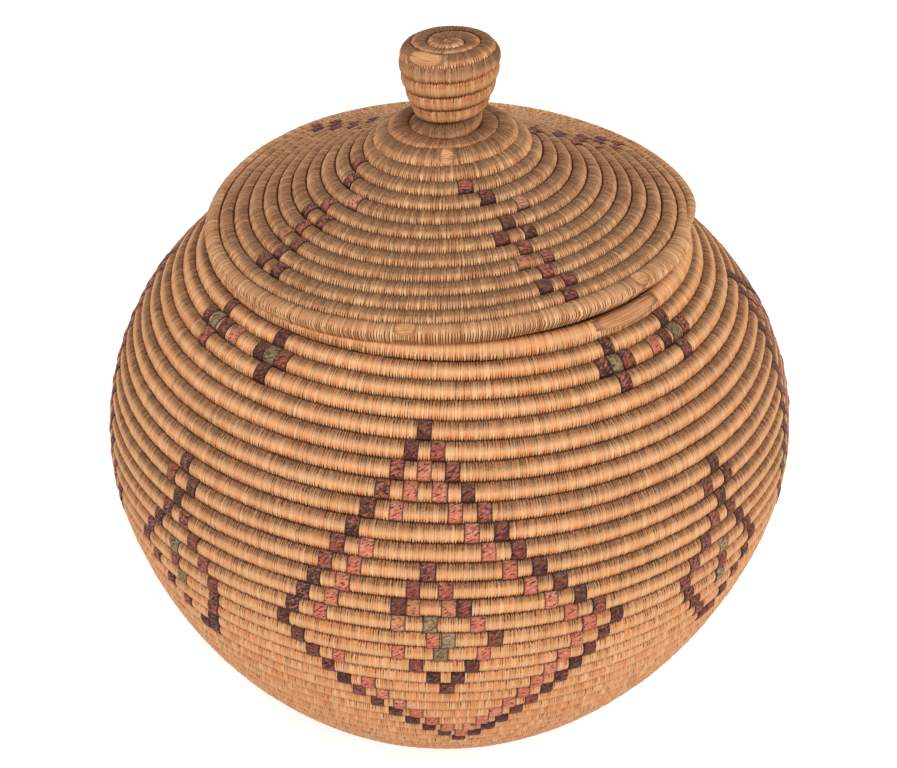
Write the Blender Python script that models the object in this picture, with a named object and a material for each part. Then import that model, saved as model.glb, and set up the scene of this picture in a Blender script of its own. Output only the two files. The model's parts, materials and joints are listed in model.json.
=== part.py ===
"""Coiled grass basket with a knobbed lid, in metres, +Z up, standing on Z = 0.

Every shell is a run of sewn coil. Its rows are ribs that climb one pitch in each
turn, to the right as seen from outside, as the maker's coil does. The rows of the
body follow a meridian from the centre of the base, over the belly, to the mouth.
The rows of the lid follow a second one, from the top of the knob to the lid's edge.
The front is -Y, and the step where a turn of the mesh closes is at the back.
"""

import math
from collections import namedtuple

import bmesh
import bpy
import numpy
from mathutils import Matrix, Vector

# Body, measured over the crests of its rows
BODY_RADIUS = 0.1400
BELLY_HEIGHT = 0.1300
BASE_RADIUS = 0.0640
MOUTH_ROW_RADIUS = 0.0900
MOUTH_ROW_HEIGHT = 0.2178
FOOT_POWER = 1.68
SHOULDER_POWER = 2.05

# Coil of the body
BODY_ROW_PITCH = 0.00679
BODY_WALL = 0.0066
BODY_RIB_DEPTH = 0.0012
STANDING_FLAT = 0.0005
MOUTH_ROW_THICKNESS = 0.0076
MOUTH_ROW_PROUD = 0.0015

# Lid, measured over the crests of its rows. Its edge row rests on the mouth row
LID_RIM_OVERHANG = 0.0002
LID_RIM_RADIUS = MOUTH_ROW_RADIUS + LID_RIM_OVERHANG
LID_RIM_THICKNESS = 0.0064
LID_RIM_PROUD = 0.0006
LID_EDGE_SLOPE_DEG = 15.1
LID_NECK_SLOPE_DEG = 31.5
LID_ROW_PITCH = 0.00619
LID_WALL = 0.0064
LID_RIB_DEPTH = 0.0012

# Collar under the lid that keeps it in the mouth
FLANGE_CLEARANCE = 0.0018
FLANGE_WALL = 0.0056
FLANGE_DROP = 0.0190
FLANGE_ROW_PITCH = 0.0063
FLANGE_RIB_DEPTH = 0.0010

# Hollow knob, measured from its foot on the lid
KNOB_HEIGHT = 0.0344
KNOB_RADIUS = 0.0184
KNOB_EDGE_ROUNDING = 0.0066
KNOB_WAIST_RADIUS = 0.0118
KNOB_WAIST_HEIGHT = 0.0036
KNOB_FOOT_RADIUS = 0.0200
KNOB_ROW_PITCH = 0.0057
KNOB_WALL = 0.0050
KNOB_RIB_DEPTH = 0.0010

# Where one run of the coil ends and the next begins
COIL_GAP = 0.0003
FOOT_END_SHARE = 0.19
LOWER_WALL_END_SHARE = 0.38
BELLY_END_SHARE = 0.70
KNOB_TOP_SHARE = 0.74

# Ribs: places across one row, and how far each of them is sunk
RIB_SHARES = (0.0, 0.5)
RIB_SUNK_SHARES = (1.0, 0.0)
LAND_SHARES = (0.0, 0.28, 0.72)
LAND_SUNK_SHARES = (1.0, 0.0, 0.0)

# Fineness of the mesh
BODY_SIDES = 40
KNOB_SIDES = 20
RING_CORNERS = 10
CURVE_POINTS = 400
SNAP_SHARE = 0.16
BODY_INNER_ROWS = 2.0
KNOB_INNER_ROWS = 0.8
FRONT_ANGLE = math.radians(-90.0)
SMOOTH_ANGLE = math.radians(55.0)

# Colours
STRAW = (0.55, 0.27, 0.13)
WORN_STRAW = (0.47, 0.23, 0.11)
LID_STRAW = (0.40, 0.19, 0.09)
STRAW_ROUGHNESS = 0.62

Winding = namedtuple("Winding", "pitch turn valley shares sunk depth sides inner_rows")


class Meridian:
    """A curve in the plane of radius and height, read by its length from its start."""

    def __init__(self, points, side, reach):
        """Side 1 faces right of the way that it runs, -1 left; reach smooths it."""
        self.radii = numpy.array([point[0] for point in points])
        self.heights = numpy.array([point[1] for point in points])
        steps = numpy.hypot(numpy.diff(self.radii), numpy.diff(self.heights))
        self.lengths = numpy.concatenate(([0.0], numpy.cumsum(steps)))
        self.length = float(self.lengths[-1])
        self.side = side
        self.reach = reach

    def point(self, along):
        radius = float(numpy.interp(along, self.lengths, self.radii))
        height = float(numpy.interp(along, self.lengths, self.heights))
        return radius, height

    def normal(self, along):
        first = self.point(max(0.0, along - self.reach))
        last = self.point(min(self.length, along + self.reach))
        run, rise = last[0] - first[0], last[1] - first[1]
        size = self.side * math.hypot(run, rise)
        return rise / size, -run / size

    def inside(self, along, depth):
        """The point at a depth under the crests."""
        radius, height = self.point(along)
        out, up = self.normal(along)
        if along <= 0.0:
            out, up = 0.0, -float(self.side)
        return radius - depth * out, height - depth * up

    def nearest(self, radius, height):
        """Length at the curve's nearest point."""
        away = numpy.hypot(self.radii - radius, self.heights - height)
        return float(self.lengths[int(numpy.argmin(away))])


def shares(count):
    """Even steps from 0 to 1."""
    return [step / count for step in range(count + 1)]


def superellipse(radius, height, power, share):
    """A point on a quarter of a superellipse, from its equator to its pole."""
    angle = share * math.pi / 2
    across = radius * math.cos(angle) ** (2 / power)
    return across, height * math.sin(angle) ** (2 / power)


def semi_height(rise, radius, widest, power):
    """Semi-height of the superellipse that has a radius at a rise from its equator."""
    return rise / (1 - (radius / widest) ** power) ** (1 / power)


def body_curve():
    """Crest line of the body: base, foot and belly, shoulder, past the mouth row."""
    deep = semi_height(BELLY_HEIGHT, BASE_RADIUS, BODY_RADIUS, FOOT_POWER)
    tall = semi_height(
        MOUTH_ROW_HEIGHT - BELLY_HEIGHT, MOUTH_ROW_RADIUS, BODY_RADIUS, SHOULDER_POWER
    )
    base = [(BASE_RADIUS * share, 0.0) for share in shares(CURVE_POINTS)]
    below = [
        superellipse(BODY_RADIUS, deep, FOOT_POWER, share)
        for share in reversed(shares(CURVE_POINTS))
    ]
    foot = [
        (radius, BELLY_HEIGHT - drop) for radius, drop in below if radius > BASE_RADIUS
    ]
    above = [
        superellipse(BODY_RADIUS, tall, SHOULDER_POWER, share)
        for share in shares(CURVE_POINTS)
    ]
    shoulder = [
        (radius, BELLY_HEIGHT + rise)
        for radius, rise in above[1:]
        if radius > MOUTH_ROW_RADIUS - MOUTH_ROW_THICKNESS
    ]
    return Meridian(base + foot + shoulder, 1, BODY_ROW_PITCH / 2)


def lid_rise(radius):
    """Height of the lid's slope above its edge."""
    edge_slope = math.tan(math.radians(LID_EDGE_SLOPE_DEG))
    neck_slope = math.tan(math.radians(LID_NECK_SLOPE_DEG))
    bend = (neck_slope - edge_slope) / (2 * (LID_RIM_RADIUS - KNOB_FOOT_RADIUS))
    inward = LID_RIM_RADIUS - radius
    return edge_slope * inward + bend * inward**2


def lid_curve(rim_height):
    """Crest line of the lid: top and side of the knob, its waist, then the slope."""
    foot = rim_height + lid_rise(KNOB_FOOT_RADIUS)
    top = foot + KNOB_HEIGHT
    flat = KNOB_RADIUS - KNOB_EDGE_ROUNDING
    widest = KNOB_HEIGHT - KNOB_EDGE_ROUNDING
    points = [(flat * share, top) for share in shares(CURVE_POINTS)]
    for share in shares(CURVE_POINTS)[1:]:
        angle = share * math.pi / 2
        across = flat + KNOB_EDGE_ROUNDING * math.sin(angle)
        points.append((across, foot + widest + KNOB_EDGE_ROUNDING * math.cos(angle)))
    for share in shares(CURVE_POINTS)[1:]:
        swell = math.cos(share * math.pi / 2)
        across = KNOB_WAIST_RADIUS + (KNOB_RADIUS - KNOB_WAIST_RADIUS) * swell
        points.append((across, foot + widest - (widest - KNOB_WAIST_HEIGHT) * share))
    for share in shares(CURVE_POINTS)[1:-1]:
        flare = 1 - math.sqrt(1 - share**2)
        across = KNOB_WAIST_RADIUS + (KNOB_FOOT_RADIUS - KNOB_WAIST_RADIUS) * flare
        points.append((across, foot + KNOB_WAIST_HEIGHT * (1 - share)))
    slope_end = LID_RIM_RADIUS + LID_RIM_THICKNESS / 2
    for share in shares(CURVE_POINTS):
        across = KNOB_FOOT_RADIUS + (slope_end - KNOB_FOOT_RADIUS) * share
        points.append((across, rim_height + lid_rise(across)))
    return Meridian(points, -1, KNOB_ROW_PITCH / 2)


def unique(vertices):
    """The corners of a face without the repeats that a closed-up line leaves."""
    kept = []
    for vertex in vertices:
        if vertex not in kept:
            kept.append(vertex)
    return kept


def coil_run(curve, start, end, winding, inner):
    """One closed run of ribbed coil between two lengths of a meridian.

    The ribs follow the spiral, and both ends are cut level. A run that starts at
    zero closes on the axis. Inner gives the points of the plain inner skin. The
    valleys between the rows are the mesh's sharp edges.
    """
    mesh = bmesh.new()
    sides = winding.sides
    across = len(winding.shares)
    snap = winding.pitch * SNAP_SHARE
    shares_round = winding.shares + (1.0,)
    sunk_round = winding.sunk + (winding.sunk[0],)

    def front_turn(side):
        return side / sides - 0.5

    def placed(radius, height, side):
        angle = FRONT_ANGLE + 2 * math.pi * front_turn(side)
        spot = Vector((radius * math.cos(angle), radius * math.sin(angle), height))
        return mesh.verts.new(spot)

    def outer_vertex(along, side):
        rows = (along - winding.valley) / winding.pitch - winding.turn * front_turn(side)
        sunk = float(numpy.interp(rows % 1.0, shares_round, sunk_round))
        near_axis = min(1.0, along / winding.pitch)
        return placed(*curve.inside(along, winding.depth * sunk * near_axis), side)

    def level_ring(along, make):
        if along <= 0.0:
            return [make(0.0, 0)] * (sides + 1)
        ring = [make(along, side) for side in range(sides)]
        return ring + [ring[0]]

    low = level_ring(start, outer_vertex)
    high = level_ring(end, outer_vertex)
    lines = {}

    def line_vertex(line, side):
        if side == sides:
            return line_vertex(line + winding.turn * across, 0)
        row, place = divmod(line, across)
        rows = row + winding.shares[place] + winding.turn * front_turn(side)
        along = winding.valley + winding.pitch * rows
        if along < start + snap:
            return low[side]
        if along > end - snap:
            return high[side]
        if (line, side) not in lines:
            lines[line, side] = outer_vertex(along, side)
        return lines[line, side]

    first = across * math.floor((start - winding.valley) / winding.pitch - 1)
    last = across * math.ceil((end - winding.valley) / winding.pitch + 1)
    for side in range(sides):
        for line in range(first, last):
            corners = unique(
                [
                    line_vertex(line, side),
                    line_vertex(line, side + 1),
                    line_vertex(line + 1, side + 1),
                    line_vertex(line + 1, side),
                ]
            )
            if len(corners) > 2:
                mesh.faces.new(corners)

    steps = max(1, round((end - start) / (winding.pitch * winding.inner_rows)))
    rings = [
        level_ring(
            start + (end - start) * share, lambda along, side: placed(*inner(along), side)
        )
        for share in shares(steps)
    ]
    skins = list(zip(rings, rings[1:])) + [(rings[-1], high)]
    if start > 0.0:
        skins.append((low, rings[0]))
    for one, other in skins:
        for side in range(sides):
            corners = [one[side], one[side + 1], other[side + 1], other[side]]
            mesh.faces.new(unique(corners))
    sunk = {vertex for (line, _), vertex in lines.items() if line % across == 0}
    for edge in mesh.edges:
        edge.smooth = not sunk.issuperset(edge.verts)
    return mesh


def ring_row(radius, height, thickness):
    """One round row of coil that closes on itself."""
    mesh = bmesh.new()
    placing = Matrix.Translation((radius, 0.0, height)) @ Matrix.Rotation(
        math.pi / 2, 4, "X"
    )
    bmesh.ops.create_circle(
        mesh, segments=RING_CORNERS, radius=thickness / 2, matrix=placing
    )
    bmesh.ops.spin(
        mesh,
        geom=mesh.verts[:] + mesh.edges[:],
        cent=(0.0, 0.0, 0.0),
        axis=(0.0, 0.0, 1.0),
        angle=2 * math.pi,
        steps=BODY_SIDES,
        use_merge=True,
    )
    return mesh


def straw_material(name, colour):
    material = bpy.data.materials.new(name)
    material.use_nodes = True
    shader = material.node_tree.nodes["Principled BSDF"]
    shader.inputs["Base Color"].default_value = (*colour, 1.0)
    shader.inputs["Roughness"].default_value = STRAW_ROUGHNESS
    shader.inputs["Metallic"].default_value = 0.0
    material.diffuse_color = (*colour, 1.0)
    return material


def add_node(name, mesh, parent, colour):
    """Turn a closed mesh in world places into a named object under its empty."""
    bmesh.ops.recalc_face_normals(mesh, faces=mesh.faces[:])
    for edge in mesh.edges:
        if edge.calc_face_angle() > SMOOTH_ANGLE:
            edge.smooth = False
    bmesh.ops.transform(
        mesh, matrix=Matrix.Translation(-parent.location), verts=mesh.verts[:]
    )
    data = bpy.data.meshes.new(name)
    mesh.to_mesh(data)
    mesh.free()
    data.shade_smooth()
    data.materials.append(straw_material(name, colour))
    node = bpy.data.objects.new(name, data)
    node.parent = parent
    bpy.context.scene.collection.objects.link(node)


def add_empty(name, height):
    empty = bpy.data.objects.new(name, None)
    empty.location = (0.0, 0.0, height)
    empty.empty_display_size = BASE_RADIUS
    bpy.context.scene.collection.objects.link(empty)
    return empty


def add_runs(curve, runs, inner, parent):
    """Runs of coil end to end, half the gap short of each place where they meet."""
    for name, start, end, winding, colour in runs:
        low = start + COIL_GAP / 2 if start > 0.0 else 0.0
        mesh = coil_run(curve, low, end - COIL_GAP / 2, winding, inner)
        add_node(name, mesh, parent, colour)


def build_body(parent):
    """The basket's own coil, and the centre of its mouth row as radius and height."""
    curve = body_curve()
    mouth_along = curve.nearest(MOUTH_ROW_RADIUS, MOUTH_ROW_HEIGHT)
    mouth = curve.inside(mouth_along, MOUTH_ROW_THICKNESS / 2 - MOUTH_ROW_PROUD)
    top = mouth_along - MOUTH_ROW_THICKNESS / 2 - COIL_GAP / 2
    foot_end, lower_wall_end, belly_end = (
        BASE_RADIUS + (top - BASE_RADIUS) * share
        for share in (FOOT_END_SHARE, LOWER_WALL_END_SHARE, BELLY_END_SHARE)
    )
    wall = Winding(
        pitch=BODY_ROW_PITCH,
        turn=1,
        valley=top,
        shares=RIB_SHARES,
        sunk=RIB_SUNK_SHARES,
        depth=BODY_RIB_DEPTH,
        sides=BODY_SIDES,
        inner_rows=BODY_INNER_ROWS,
    )
    base = wall._replace(
        shares=LAND_SHARES, sunk=LAND_SUNK_SHARES, depth=BODY_RIB_DEPTH - STANDING_FLAT
    )
    runs = [
        ("base_coil", 0.0, BASE_RADIUS, base, WORN_STRAW),
        ("foot_coil", BASE_RADIUS, foot_end, wall, STRAW),
        ("lower_wall_coil", foot_end, lower_wall_end, wall, STRAW),
        ("belly_coil", lower_wall_end, belly_end, wall, STRAW),
        ("shoulder_coil", belly_end, top, wall, STRAW),
    ]
    add_runs(curve, runs, lambda along: curve.inside(along, BODY_WALL), parent)
    ring = ring_row(mouth[0], mouth[1], MOUTH_ROW_THICKNESS)
    add_node("mouth_coil", ring, parent, WORN_STRAW)
    return mouth


def build_lid(parent, rim, mouth):
    """The lid's coil with its knob and edge row, and the collar under it."""
    rim_height = rim[1] + LID_RIM_THICKNESS / 2 - LID_RIM_PROUD
    curve = lid_curve(rim_height)
    edge = curve.nearest(*rim) - LID_RIM_THICKNESS / 2 - COIL_GAP / 2
    neck = curve.nearest(KNOB_FOOT_RADIUS, rim_height + lid_rise(KNOB_FOOT_RADIUS))
    knob_top = KNOB_RADIUS * KNOB_TOP_SHARE
    slope = Winding(
        pitch=LID_ROW_PITCH,
        turn=-1,
        valley=edge,
        shares=RIB_SHARES,
        sunk=RIB_SUNK_SHARES,
        depth=LID_RIB_DEPTH,
        sides=BODY_SIDES,
        inner_rows=BODY_INNER_ROWS,
    )
    knob = slope._replace(
        pitch=KNOB_ROW_PITCH,
        valley=knob_top,
        depth=KNOB_RIB_DEPTH,
        sides=KNOB_SIDES,
        inner_rows=KNOB_INNER_ROWS,
    )
    knob_runs = [
        ("knob_top_coil", 0.0, knob_top, knob, WORN_STRAW),
        ("knob_coil", knob_top, neck, knob, WORN_STRAW),
    ]
    add_runs(curve, knob_runs, lambda along: curve.inside(along, KNOB_WALL), parent)
    lid_runs = [("lid_coil", neck, edge, slope, LID_STRAW)]
    add_runs(curve, lid_runs, lambda along: curve.inside(along, LID_WALL), parent)
    ring = ring_row(rim[0], rim[1], LID_RIM_THICKNESS)
    add_node("lid_rim_coil", ring, parent, LID_STRAW)
    build_flange(parent, curve, edge, mouth)


def build_flange(parent, curve, edge, mouth):
    """The collar: its top follows the lid's underside, and its foot is level."""
    under = [curve.inside(edge * share, LID_WALL) for share in shares(CURVE_POINTS)]
    under = [spot for spot in under if spot[0] > KNOB_FOOT_RADIUS][::-1]
    outer_radius = mouth[0] - MOUTH_ROW_THICKNESS / 2 - FLANGE_CLEARANCE
    inner_radius = outer_radius - FLANGE_WALL

    def seat(radius):
        heights = [height for across, height in under if across >= radius]
        return heights[-1] - COIL_GAP

    top = seat(outer_radius)
    foot = top - FLANGE_DROP
    drop_line = [(outer_radius, top - FLANGE_DROP * share) for share in shares(1)]
    drop_curve = Meridian(drop_line, -1, FLANGE_ROW_PITCH / 2)

    def inner(along):
        share = along / FLANGE_DROP
        return inner_radius, seat(inner_radius) * (1 - share) + foot * share

    winding = Winding(
        pitch=FLANGE_ROW_PITCH,
        turn=-1,
        valley=FLANGE_DROP,
        shares=RIB_SHARES,
        sunk=RIB_SUNK_SHARES,
        depth=FLANGE_RIB_DEPTH,
        sides=BODY_SIDES,
        inner_rows=BODY_INNER_ROWS,
    )
    mesh = coil_run(drop_curve, COIL_GAP, FLANGE_DROP, winding, inner)
    add_node("lid_flange_coil", mesh, parent, WORN_STRAW)


def seat_of_lid(mouth):
    """Centre of the lid's edge row, resting the gap above the mouth row."""
    reach = (MOUTH_ROW_THICKNESS + LID_RIM_THICKNESS) / 2 + COIL_GAP
    aside = LID_RIM_RADIUS - mouth[0]
    return LID_RIM_RADIUS, mouth[1] + math.sqrt(reach**2 - aside**2)


def main():
    for thing in list(bpy.data.objects):
        bpy.data.objects.remove(thing)
    basket = add_empty("basket", 0.0)
    mouth = build_body(basket)
    rim = seat_of_lid(mouth)
    lid = add_empty("lid", rim[1])
    build_lid(lid, rim, mouth)


main()
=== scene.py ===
"""A lidded basket of sewn grass coil, laid out as an add-on that dresses its CAD frame.

The body and the lid are each one coil of grass bundle, wound in a spiral and sewn
with fine stitches. Every coil here is a tube that follows the spiral, with a groove
at each stitch. Short wraps of dyed skin on single rows make the stepped diamonds.
Metres, +Z up. The front is -Y and azimuths run from it to the right.
"""

import json
import math

import bmesh
import bpy
import numpy as np
from bpy.props import FloatProperty, FloatVectorProperty, IntProperty, PointerProperty
from mathutils import Matrix, Vector

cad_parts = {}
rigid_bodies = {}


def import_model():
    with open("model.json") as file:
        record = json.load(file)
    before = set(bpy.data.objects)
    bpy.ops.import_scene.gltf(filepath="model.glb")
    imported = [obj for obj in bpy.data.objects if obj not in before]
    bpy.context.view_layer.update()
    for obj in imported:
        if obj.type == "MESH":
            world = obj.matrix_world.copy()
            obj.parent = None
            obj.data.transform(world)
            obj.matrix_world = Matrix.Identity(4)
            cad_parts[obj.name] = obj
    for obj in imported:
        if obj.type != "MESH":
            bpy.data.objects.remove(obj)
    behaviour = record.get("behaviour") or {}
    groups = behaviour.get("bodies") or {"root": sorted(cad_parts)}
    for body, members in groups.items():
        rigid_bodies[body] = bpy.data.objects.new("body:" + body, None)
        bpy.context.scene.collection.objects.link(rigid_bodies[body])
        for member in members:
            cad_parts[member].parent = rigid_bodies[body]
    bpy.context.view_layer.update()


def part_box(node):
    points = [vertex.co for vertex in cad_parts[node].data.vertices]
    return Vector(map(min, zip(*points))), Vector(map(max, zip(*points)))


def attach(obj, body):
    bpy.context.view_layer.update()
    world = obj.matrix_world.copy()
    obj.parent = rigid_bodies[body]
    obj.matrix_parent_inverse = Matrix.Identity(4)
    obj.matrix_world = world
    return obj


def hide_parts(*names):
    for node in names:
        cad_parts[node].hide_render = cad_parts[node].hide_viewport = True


bl_info = {
    "name": "Lidded Coiled Basket",
    "version": (1, 0, 0),
    "blender": (4, 5, 0),
    "location": "View3D > Sidebar > Basket",
    "description": "Adds a basket of sewn grass coil with dyed wraps and a knobbed lid",
    "category": "Add Mesh",
}

for thing in list(bpy.data.objects):
    bpy.data.objects.remove(thing)
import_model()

FULL_TURN = 2 * math.pi
WALL_NODES = ("foot_coil", "lower_wall_coil", "belly_coil", "shoulder_coil")

# Places round the section of a coil, a wrap and a splice, in degrees from outward
COIL_DEGREES = (-140, -72, -50, -30, -10, 10, 30, 50, 72, 140)
WRAP_DEGREES = (-150, -95, -72, -54, -36, -18, 0, 18, 36, 54, 72, 95, 150)
SPLICE_DEGREES = (-150, -100, *range(-75, 76, 10), 100, 150)
SECTION_POWER = 2.3

# Points of the outlines and along a coil, and how a coil is cut and numbered
CURVE_POINTS = 1500
KNOB_STRETCHES = 4
KNOB_TOP_SHARE = 0.74
SAMPLES_PER_TURN = 180
PART_SAMPLES = 400
STITCHES_PER_PIECE = 4700
STITCH_NUMBER_STEP = 23
COLLAR_TURNS = (-2.0, 0.5)
MERGE_DISTANCE = 1e-7

# Seeds of the runs of rows, the wraps and the splices
SEEDS = {
    "base": 10, "wall": 20, "mouth": 70, "body_wraps": 80,
    "lid": 110, "collar": 160, "lid_wraps": 180, "splices": 190,
}
SEED_STEP = 10

# Widths of single stitches in shares of the mean, their relief in shares of the
# coil's half thickness, the length of a lump in metres, and their slant
STITCH_SHARES = (0.62, 1.38)
CREST_SPREAD_SHARE = 0.014
GROOVE_SHARE = 0.036
DEEP_GROOVE_SHARE = 0.060
LUMP_SHARE = 0.012
LUMP_LENGTH = 0.012
TOOTH_GAP_SHARE = 0.090
TOOTH_SHARE = 0.045
TOOTH_SPREAD_SHARE = 0.030
UPPER_TOOTH_SHARE = 0.35
STITCH_LEAN = 0.015
STITCH_LEAN_SPREAD = 0.030

# Dust on a row, by how far its wall faces up, and its edge across the row
DUSTY_SLOPES = (-0.25, 0.30)
FLAT_SLOPES = (0.10, 0.65)
DUST_DROP = 0.07
DUST_PATCH_TURNS = 0.02
DUST_PATCH = 0.022
DUST_FADE = (-0.13, 0.10)

# Relief of a wrap and of a splice, in shares of length and of the coil's half thickness
WRAP_SHARES = (-0.5, -0.5, -0.47, -0.40, -0.24, -0.08, 0.08, 0.24, 0.40, 0.47, 0.5, 0.5)
WRAP_RISE_SHARES = (0, -0.06, 0.035, 0.085, 0.10, 0.105, 0.105, 0.10, 0.085, 0.035, -0.06, 0)
WRAP_LIFT_SHARES = (-0.03, 0.015)
WRAP_LENGTH_SHARES = (0.93, 1.07)
CREASE_SHARE = 0.018
PATCH_LEAN = 0.01
SPLICE_HALF_DEGREES = 62.0
SPLICE_POINTS = 25
STRAND_SHARE = 0.022
LENS_FOOT_SHARE = 0.96
LENS_RISE_SHARE = 0.10
SPLICE_NUMBER_STEP = 20.0

# Heights over which the foot's bulge comes and goes, and over which straw gets plain: weaker
# painted highlights and painted seam shade, and more flecks
FOOT_BULGE_HEIGHTS = (0.0, 0.035, 0.050, 0.110)
PLAIN_HEIGHTS = (0.125, 0.065)
FOOT_BULGE_AZIMUTH = -0.3

# Dyed wraps as row, azimuth in degrees and dye: D dark, R red, P pink, G green, O orange
EDGE_ROWS = (4, 10, 15, 20, 26)
LEFT_EDGE_DEGREES = (-4.6, -16.2, -24.0, -13.4, 2.4)
RIGHT_EDGE_DEGREES = (-4.6, 9.8, 24.5, 15.3, 3.0)
SPLIT_DEGREES = 2.0
PINK_INSET_DEGREES = 4.3
PINK_INSET_STEP = 0.13
PINK_ROOM_SHARES = (1.7, 2.6)
WIDEST_ROW = 15
ROWS_WITHOUT_LEFT_PINK = (9, 15, 16, 18)
DIAMOND_DRIFT_DEGREES = 1.2
CROSS_DEGREES = (-46.5, 42.5, 133.0, -137.0)
LID_ARM_DEGREES = (26.0, 121.0, -140.0)
SHORT_ARM_DEGREES = -56.0
SHORT_ARM_ROWS = 10
SHORT_ARM_DRIFT_ROW = 8
SHORT_ARM_DRIFT_DEGREES = 1.3
INNER_MOTIF = (
    (11, -3.0, "D"), (12, -5.0, "R"), (12, -0.5, "D"), (13, -7.0, "D"), (13, -4.9, "O"),
    (13, 0.0, "O"), (13, 2.1, "D"), (14, -7.0, "O"), (14, -2.5, "G"), (14, 4.0, "P"),
    (15, -2.1, "P"), (15, 0.0, "G"), (15, 6.5, "D"), (16, -7.0, "P"),
    (16, -1.0, "G"), (16, 5.0, "P"), (17, -4.5, "R"), (17, 3.5, "D"), (18, -2.0, "D"),
    (18, 1.5, "D"), (19, 0.0, "D"),
)
SMALL_MOTIF = (
    (9, 0.0, "D"), (10, -2.5, "D"), (10, 2.5, "D"), (11, 0.0, "D"), (12, -2.0, "D"),
    (12, 2.0, "D"), (13, -4.2, "D"), (13, 4.2, "D"), (14, -6.5, "D"), (14, 0.0, "G"),
    (14, 6.5, "D"), (15, -8.3, "D"), (15, 0.0, "R"), (15, 8.3, "D"), (16, -7.0, "D"),
    (16, 0.0, "G"), (16, 7.0, "D"), (17, -5.0, "D"), (17, 5.0, "D"), (18, -3.0, "D"),
    (18, 3.0, "D"), (19, -1.0, "D"), (19, 1.2, "D"),
)
SHOULDER_MOTIF = (
    (1, -9.2, "D"), (1, 8.0, "D"), (2, -12.0, "D"), (2, -9.2, "G"), (2, -6.2, "D"),
    (2, 1.4, "P"), (2, 5.2, "D"), (2, 8.7, "G"), (2, 12.0, "D"), (3, -9.0, "D"),
    (3, 8.4, "D"),
)
LID_MOTIF = (
    (2, -16.5, "D"), (3, -6.5, "D"), (4, 8.5, "O"), (5, -2.5, "D"), (6, -7.5, "D"),
    (6, 3.5, "D"), (7, -1.5, "D"), (8, -4.5, "O"), (8, 3.5, "R"),
    (9, 0.5, "D"), (10, -2.5, "D"), (10, 4.5, "D"), (11, 2.0, "D"),
)

# Splices on the mouth row, and on the lid by row: azimuth in degrees, then length
BODY_SPLICES = ((42.0, 0.034),)
LID_SPLICES = ((12, -9.4, 0.0082), (12, 45.6, 0.0075), (0, -2.0, 0.0050), (-7, -33.0, 0.015))

# Straw by material: its colour, shares of dust, of painted shade in the gaps, of pale tips and of
# the painted highlight (sheen), and the seam width of the painted shade between rows
STRAW_LOOKS = {
    "body_stitches": ("straw", 1.05, 1.00, 0.90, 0.70, 0.020),
    "base_stitches": ("straw", 0.40, 0.90, 0.35, 0.20, 0.020),
    "lid_stitches": ("lid_straw", 1.15, 1.30, 1.00, 0.50, 0.065),
    "knob_stitches": ("knob_straw", 1.25, 0.95, 0.70, 0.60, 0.035),
}

# Wraps by dye: material, its colours new and worn, shares of wear and of dust with painted
# highlight, record slot
DYES = {
    "D": ("dark_wrap", "dark_dye", "dark_worn", 0.95, 0.42, "dark_wrap"),
    "R": ("red_wrap", "red_dye", "dark_worn", 0.60, 0.55, "dark_wrap"),
    "P": ("pink_wrap", "pink_dye", "pink_worn", 0.75, 0.65, "pink_wrap"),
    "G": ("green_wrap", "green_dye", "green_worn", 0.90, 0.55, "green_wrap"),
    "O": ("orange_wrap", "orange_dye", "pink_worn", 0.60, 0.60, "pink_wrap"),
}
# Tint of the painted glints on the wraps, mixed into their worn colour
GLINT_TINT = (1.0, 0.70, 0.54, 1.0)

# Bump of each effect, as its strength and its distance
STRAW_BUMP = (0.6, 0.00016)
SKIN_BUMP = (0.9, 0.0005)
FIBRE_BUMP = (0.7, 0.0002)

# Stage: each light's place, size and power, what it aims at, sky, floor and camera
WHITE = (1.0, 1.0, 1.0, 1.0)
LIGHTS = (
    ("key_light", (0.60, -0.95, 1.10), 0.9, 10.5),
    ("fill_light", (-1.1, -0.7, 0.8), 1.0, 5.1),
)
LIGHT_TARGET = Vector((0.0, 0.0, 0.13))
SKY_STRENGTH = 0.52
FLOOR_GLOW = 0.62
FLOOR_SIZE = 30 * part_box("belly_coil")[1].x
IMAGE_WIDTH = 897
FOCAL_PIXELS = 1337.8
SHIFT_PIXELS = -1.0
SENSOR_WIDTH = 36.0
VIEW_DISTANCE = 0.56
VIEW_RISE = 0.013
VIEW_ELEVATION = math.radians(34.03)
VIEW_ROLL = math.radians(0.3)


def metres(name, description, default):
    return FloatProperty(
        name=name, description=description, default=default, precision=5, unit="LENGTH"
    )


def angle(name, description, degrees):
    return FloatProperty(
        name=name, description=description, default=math.radians(degrees), unit="ROTATION"
    )


def factor(name, description, default):
    return FloatProperty(name=name, description=description, default=default)


def tint(name, description, default):
    return FloatVectorProperty(
        name=name, description=description, default=default, subtype="COLOR"
    )


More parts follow.
